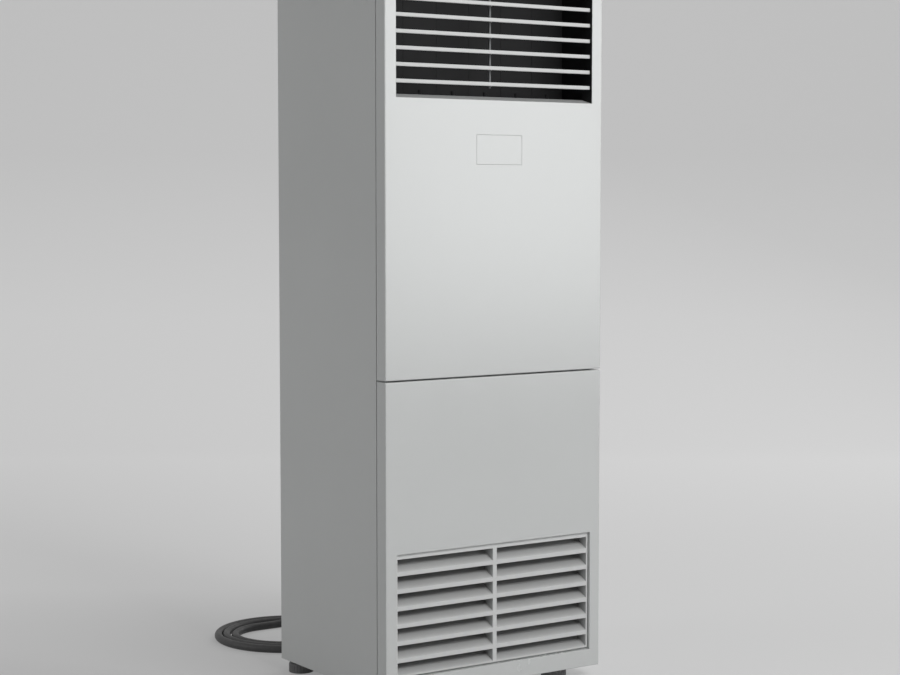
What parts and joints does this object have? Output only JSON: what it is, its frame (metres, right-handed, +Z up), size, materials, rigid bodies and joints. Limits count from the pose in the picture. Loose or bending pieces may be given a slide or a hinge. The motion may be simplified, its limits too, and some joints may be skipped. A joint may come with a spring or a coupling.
{
  "type": "floor standing air conditioner",
  "caption": "Tall cabinet indoor unit with tilting outlet blades near the top, a hinged intake grille near the floor, a blower and coil inside, levelling feet and a coiled supply cable.",
  "frame": {"origin": "centre of the cabinet's footprint, on the floor", "axes": "+X across the front to the right as seen from the front, +Y from the front to the back, +Z up"},
  "size_m": [0.6041, 0.9686, 1.85],
  "materials": {
    "casing_enamel": "semi-gloss light grey-white enamel",
    "galvanised_sheet": "matt galvanised sheet",
    "white_plastic": "satin",
    "grey_plastic": "matt",
    "duct_plastic": "matt",
    "filter_net": "matt net",
    "foot_plastic": "matt",
    "screw_steel": "zinc plated",
    "motor_shell": "cast, matt",
    "fin_aluminium": "bright fins",
    "pan_plastic": "matt",
    "copper_pipe": "copper, drawn",
    "insulation_felt": "needled insulation felt, matt",
    "board": "matt",
    "cable_rubber": "matt",
    "black_plastic": "satin"
  },
  "bodies": {
    "casing": {"front_upper_panel": "casing_enamel", "front_lower_panel": "casing_enamel", "display_cover": "white_plastic", "left_side_panel": "casing_enamel", "right_side_panel": "casing_enamel", "rear_panel": "casing_enamel", "lower_rear_panel": "casing_enamel", "rear_panel_screws": "screw_steel", "top_panel": "casing_enamel", "base_pan": "galvanised_sheet", "cross_rail": "galvanised_sheet", "blade_frame": "duct_plastic", "outlet_duct": "duct_plastic", "swing_motor": "motor_shell", "fan_scroll": "galvanised_sheet", "fan_inlet_plate": "galvanised_sheet", "fan_motor": "motor_shell", "motor_bracket": "galvanised_sheet", "fan_deck": "galvanised_sheet", "evaporator_coil": "fin_aluminium", "drain_pan": "pan_plastic", "drain_pipe": "pan_plastic", "gas_pipe": "copper_pipe", "liquid_pipe": "copper_pipe", "insulation_liner": "insulation_felt", "control_box": "galvanised_sheet", "control_box_cover": "galvanised_sheet", "circuit_board": "board", "cable_gland": "black_plastic", "cable_lead": "cable_rubber", "cable_coil": "cable_rubber", "cable_tail": "cable_rubber", "supply_plug": "black_plastic"},
    "blade_01": {"outlet_blade_01": "white_plastic"},
    "blade_02": {"outlet_blade_02": "white_plastic"},
    "blade_03": {"outlet_blade_03": "white_plastic"},
    "blade_04": {"outlet_blade_04": "white_plastic"},
    "blade_05": {"outlet_blade_05": "white_plastic"},
    "blade_06": {"outlet_blade_06": "white_plastic"},
    "blade_07": {"outlet_blade_07": "white_plastic"},
    "blade_08": {"outlet_blade_08": "white_plastic"},
    "blade_09": {"outlet_blade_09": "white_plastic"},
    "blade_10": {"outlet_blade_10": "white_plastic"},
    "blade_11": {"outlet_blade_11": "white_plastic"},
    "blade_link": {"blade_link_bar": "grey_plastic"},
    "vane_1": {"swing_vane_1": "duct_plastic"},
    "vane_2": {"swing_vane_2": "duct_plastic"},
    "vane_3": {"swing_vane_3": "duct_plastic"},
    "vane_4": {"swing_vane_4": "duct_plastic"},
    "vane_5": {"swing_vane_5": "duct_plastic"},
    "vane_6": {"swing_vane_6": "duct_plastic"},
    "vane_tie": {"vane_tie_bar": "duct_plastic"},
    "blower": {"blower_wheel": "galvanised_sheet", "motor_shaft": "screw_steel"},
    "grille": {"intake_grille": "white_plastic", "air_filter": "filter_net"},
    "foot_front_left": {"levelling_foot_front_left": "foot_plastic"},
    "foot_front_right": {"levelling_foot_front_right": "foot_plastic"},
    "foot_rear_left": {"levelling_foot_rear_left": "foot_plastic"},
    "foot_rear_right": {"levelling_foot_rear_right": "foot_plastic"}
  },
  "joints": [
    {"name": "blade_01_tilt", "type": "hinge", "parent": "casing", "child": "blade_01", "pos_m": [0, -0.225, 1.4023], "axis": [1, 0, 0], "range_deg": [-30, 30]},
    {"name": "blade_02_tilt", "type": "hinge", "parent": "casing", "child": "blade_02", "pos_m": [0, -0.225, 1.4384], "axis": [1, 0, 0], "range_deg": [-30, 30]},
    {"name": "blade_03_tilt", "type": "hinge", "parent": "casing", "child": "blade_03", "pos_m": [0, -0.225, 1.4745], "axis": [1, 0, 0], "range_deg": [-30, 30]},
    {"name": "blade_04_tilt", "type": "hinge", "parent": "casing", "child": "blade_04", "pos_m": [0, -0.225, 1.5106], "axis": [1, 0, 0], "range_deg": [-30, 30]},
    {"name": "blade_05_tilt", "type": "hinge", "parent": "casing", "child": "blade_05", "pos_m": [0, -0.225, 1.5467], "axis": [1, 0, 0], "range_deg": [-30, 30]},
    {"name": "blade_06_tilt", "type": "hinge", "parent": "casing", "child": "blade_06", "pos_m": [0, -0.225, 1.5828], "axis": [1, 0, 0], "range_deg": [-30, 30]},
    {"name": "blade_07_tilt", "type": "hinge", "parent": "casing", "child": "blade_07", "pos_m": [0, -0.225, 1.6189], "axis": [1, 0, 0], "range_deg": [-30, 30]},
    {"name": "blade_08_tilt", "type": "hinge", "parent": "casing", "child": "blade_08", "pos_m": [0, -0.225, 1.655], "axis": [1, 0, 0], "range_deg": [-30, 30]},
    {"name": "blade_09_tilt", "type": "hinge", "parent": "casing", "child": "blade_09", "pos_m": [0, -0.225, 1.6911], "axis": [1, 0, 0], "range_deg": [-30, 30]},
    {"name": "blade_10_tilt", "type": "hinge", "parent": "casing", "child": "blade_10", "pos_m": [0, -0.225, 1.7272], "axis": [1, 0, 0], "range_deg": [-30, 30]},
    {"name": "blade_11_tilt", "type": "hinge", "parent": "casing", "child": "blade_11", "pos_m": [0, -0.225, 1.7633], "axis": [1, 0, 0], "range_deg": [-30, 30]},
    {"name": "blade_link_swing", "type": "hinge", "parent": "blade_01", "child": "blade_link", "pos_m": [0, -0.2088, 1.4023], "axis": [1, 0, 0], "range_deg": [-30, 30]},
    {"name": "vane_1_swing", "type": "hinge", "parent": "casing", "child": "vane_1", "pos_m": [-0.225, -0.1238, 1.58], "axis": [0, 0, 1], "range_deg": [0, 125]},
    {"name": "vane_2_swing", "type": "hinge", "parent": "casing", "child": "vane_2", "pos_m": [-0.135, -0.1238, 1.58], "axis": [0, 0, 1], "range_deg": [0, 125]},
    {"name": "vane_3_swing", "type": "hinge", "parent": "casing", "child": "vane_3", "pos_m": [-0.045, -0.1238, 1.58], "axis": [0, 0, 1], "range_deg": [0, 125]},
    {"name": "vane_4_swing", "type": "hinge", "parent": "casing", "child": "vane_4", "pos_m": [0.045, -0.1238, 1.58], "axis": [0, 0, 1], "range_deg": [0, 125]},
    {"name": "vane_5_swing", "type": "hinge", "parent": "casing", "child": "vane_5", "pos_m": [0.135, -0.1238, 1.58], "axis": [0, 0, 1], "range_deg": [0, 125]},
    {"name": "vane_6_swing", "type": "hinge", "parent": "casing", "child": "vane_6", "pos_m": [0.225, -0.1238, 1.58], "axis": [0, 0, 1], "range_deg": [0, 125]},
    {"name": "vane_tie_swing", "type": "hinge", "parent": "vane_1", "child": "vane_tie", "pos_m": [-0.20005, -0.11109, 1.784], "axis": [0, 0, 1], "range_deg": [-125, 0]},
    {"name": "blower_spin", "type": "hinge", "parent": "casing", "child": "blower", "pos_m": [0, 0, 0.29], "axis": [0, 1, 0], "continuous": true},
    {"name": "grille_tilt", "type": "hinge", "parent": "casing", "child": "grille", "pos_m": [0, -0.226, 0.081], "axis": [1, 0, 0], "range_deg": [0, 80]},
    {"name": "foot_front_left_turn", "type": "hinge", "parent": "casing", "child": "foot_front_left", "pos_m": [-0.21, -0.18, 0.03], "axis": [0, 0, 1], "continuous": true},
    {"name": "foot_front_right_turn", "type": "hinge", "parent": "casing", "child": "foot_front_right", "pos_m": [0.21, -0.18, 0.03], "axis": [0, 0, 1], "continuous": true},
    {"name": "foot_rear_left_turn", "type": "hinge", "parent": "casing", "child": "foot_rear_left", "pos_m": [-0.265, 0.205, 0.03], "axis": [0, 0, 1], "continuous": true},
    {"name": "foot_rear_right_turn", "type": "hinge", "parent": "casing", "child": "foot_rear_right", "pos_m": [0.265, 0.205, 0.03], "axis": [0, 0, 1], "continuous": true}
  ],
  "couplings": [
    {"joint": "blade_02_tilt", "follows": "blade_01_tilt", "ratio": 1},
    {"joint": "blade_03_tilt", "follows": "blade_01_tilt", "ratio": 1},
    {"joint": "blade_04_tilt", "follows": "blade_01_tilt", "ratio": 1},
    {"joint": "blade_05_tilt", "follows": "blade_01_tilt", "ratio": 1},
    {"joint": "blade_06_tilt", "follows": "blade_01_tilt", "ratio": 1},
    {"joint": "blade_07_tilt", "follows": "blade_01_tilt", "ratio": 1},
    {"joint": "blade_08_tilt", "follows": "blade_01_tilt", "ratio": 1},
    {"joint": "blade_09_tilt", "follows": "blade_01_tilt", "ratio": 1},
    {"joint": "blade_10_tilt", "follows": "blade_01_tilt", "ratio": 1},
    {"joint": "blade_11_tilt", "follows": "blade_01_tilt", "ratio": 1},
    {"joint": "blade_link_swing", "follows": "blade_01_tilt", "ratio": -1},
    {"joint": "vane_2_swing", "follows": "vane_1_swing", "ratio": 1},
    {"joint": "vane_3_swing", "follows": "vane_1_swing", "ratio": 1},
    {"joint": "vane_4_swing", "follows": "vane_1_swing", "ratio": 1},
    {"joint": "vane_5_swing", "follows": "vane_1_swing", "ratio": 1},
    {"joint": "vane_6_swing", "follows": "vane_1_swing", "ratio": 1},
    {"joint": "vane_tie_swing", "follows": "vane_1_swing", "ratio": -1}
  ]
}
